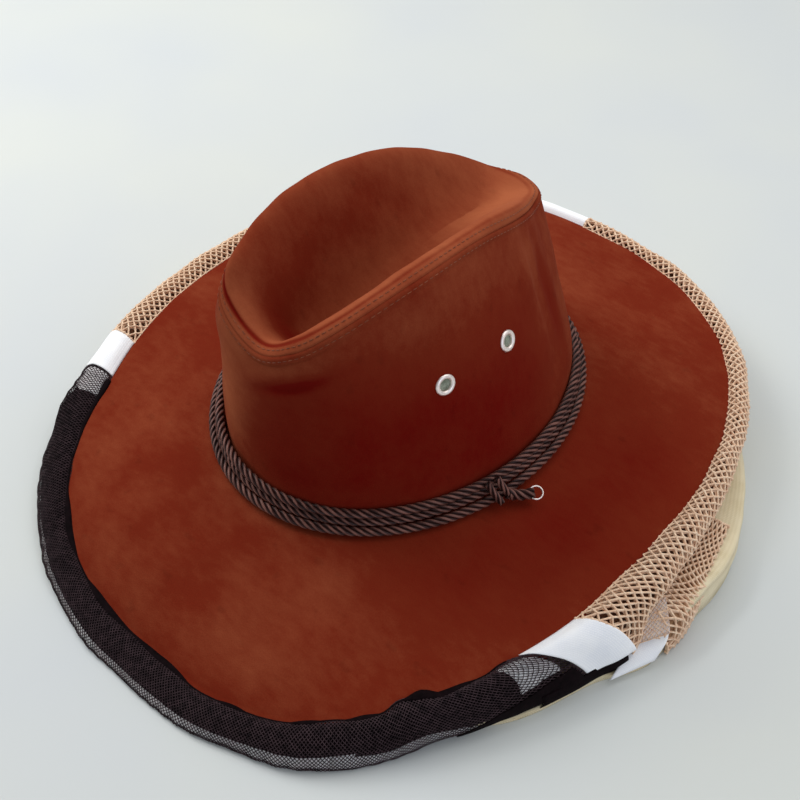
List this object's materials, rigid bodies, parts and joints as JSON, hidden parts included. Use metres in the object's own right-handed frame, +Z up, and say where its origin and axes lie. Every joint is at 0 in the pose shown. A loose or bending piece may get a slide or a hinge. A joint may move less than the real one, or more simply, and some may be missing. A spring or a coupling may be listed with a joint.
{
  "type": "beekeeper hat",
  "caption": "Wide-brimmed suede-cloth hat with a creased crown, twisted cord band, vent eyelets and a net veil folded back under its brim.",
  "frame": {"origin": "on the surface that the hat lies on, under the middle of its outline", "axes": "+Z up, -Y to the front of the hat, +X to the wearer's left"},
  "size_m": [0.3798, 0.4208, 0.1841],
  "materials": {
    "suede": "brushed microfibre suede cloth, matt with a soft nap",
    "cord": "twisted cord with a dull sheen",
    "eyelet_metal": "rolled and plated, polished",
    "cream_cloth": "plain-woven cotton, matt",
    "black_net": "fine knitted mesh, matt",
    "tan_net": "coarse knitted mesh, matt",
    "white_tape": "woven binding tape, soft sheen"
  },
  "bodies": {
    "root": {"crown_side": "suede", "crown_top": "suede", "brim": "suede", "band_cord_low": "cord", "band_cord_middle": "cord", "band_cord_high": "cord", "band_knot": "cord", "band_tail": "cord", "tail_ring": "eyelet_metal", "eyelet_left_front": "eyelet_metal", "eyelet_left_rear": "eyelet_metal", "eyelet_right_front": "eyelet_metal", "eyelet_right_rear": "eyelet_metal", "skirt_cloth": "cream_cloth", "net_front": "black_net", "net_left": "tan_net", "net_right": "tan_net", "net_left_fold": "tan_net", "tape_left": "white_tape", "tape_right": "white_tape", "tape_back": "white_tape"}
  },
  "joints": []
}
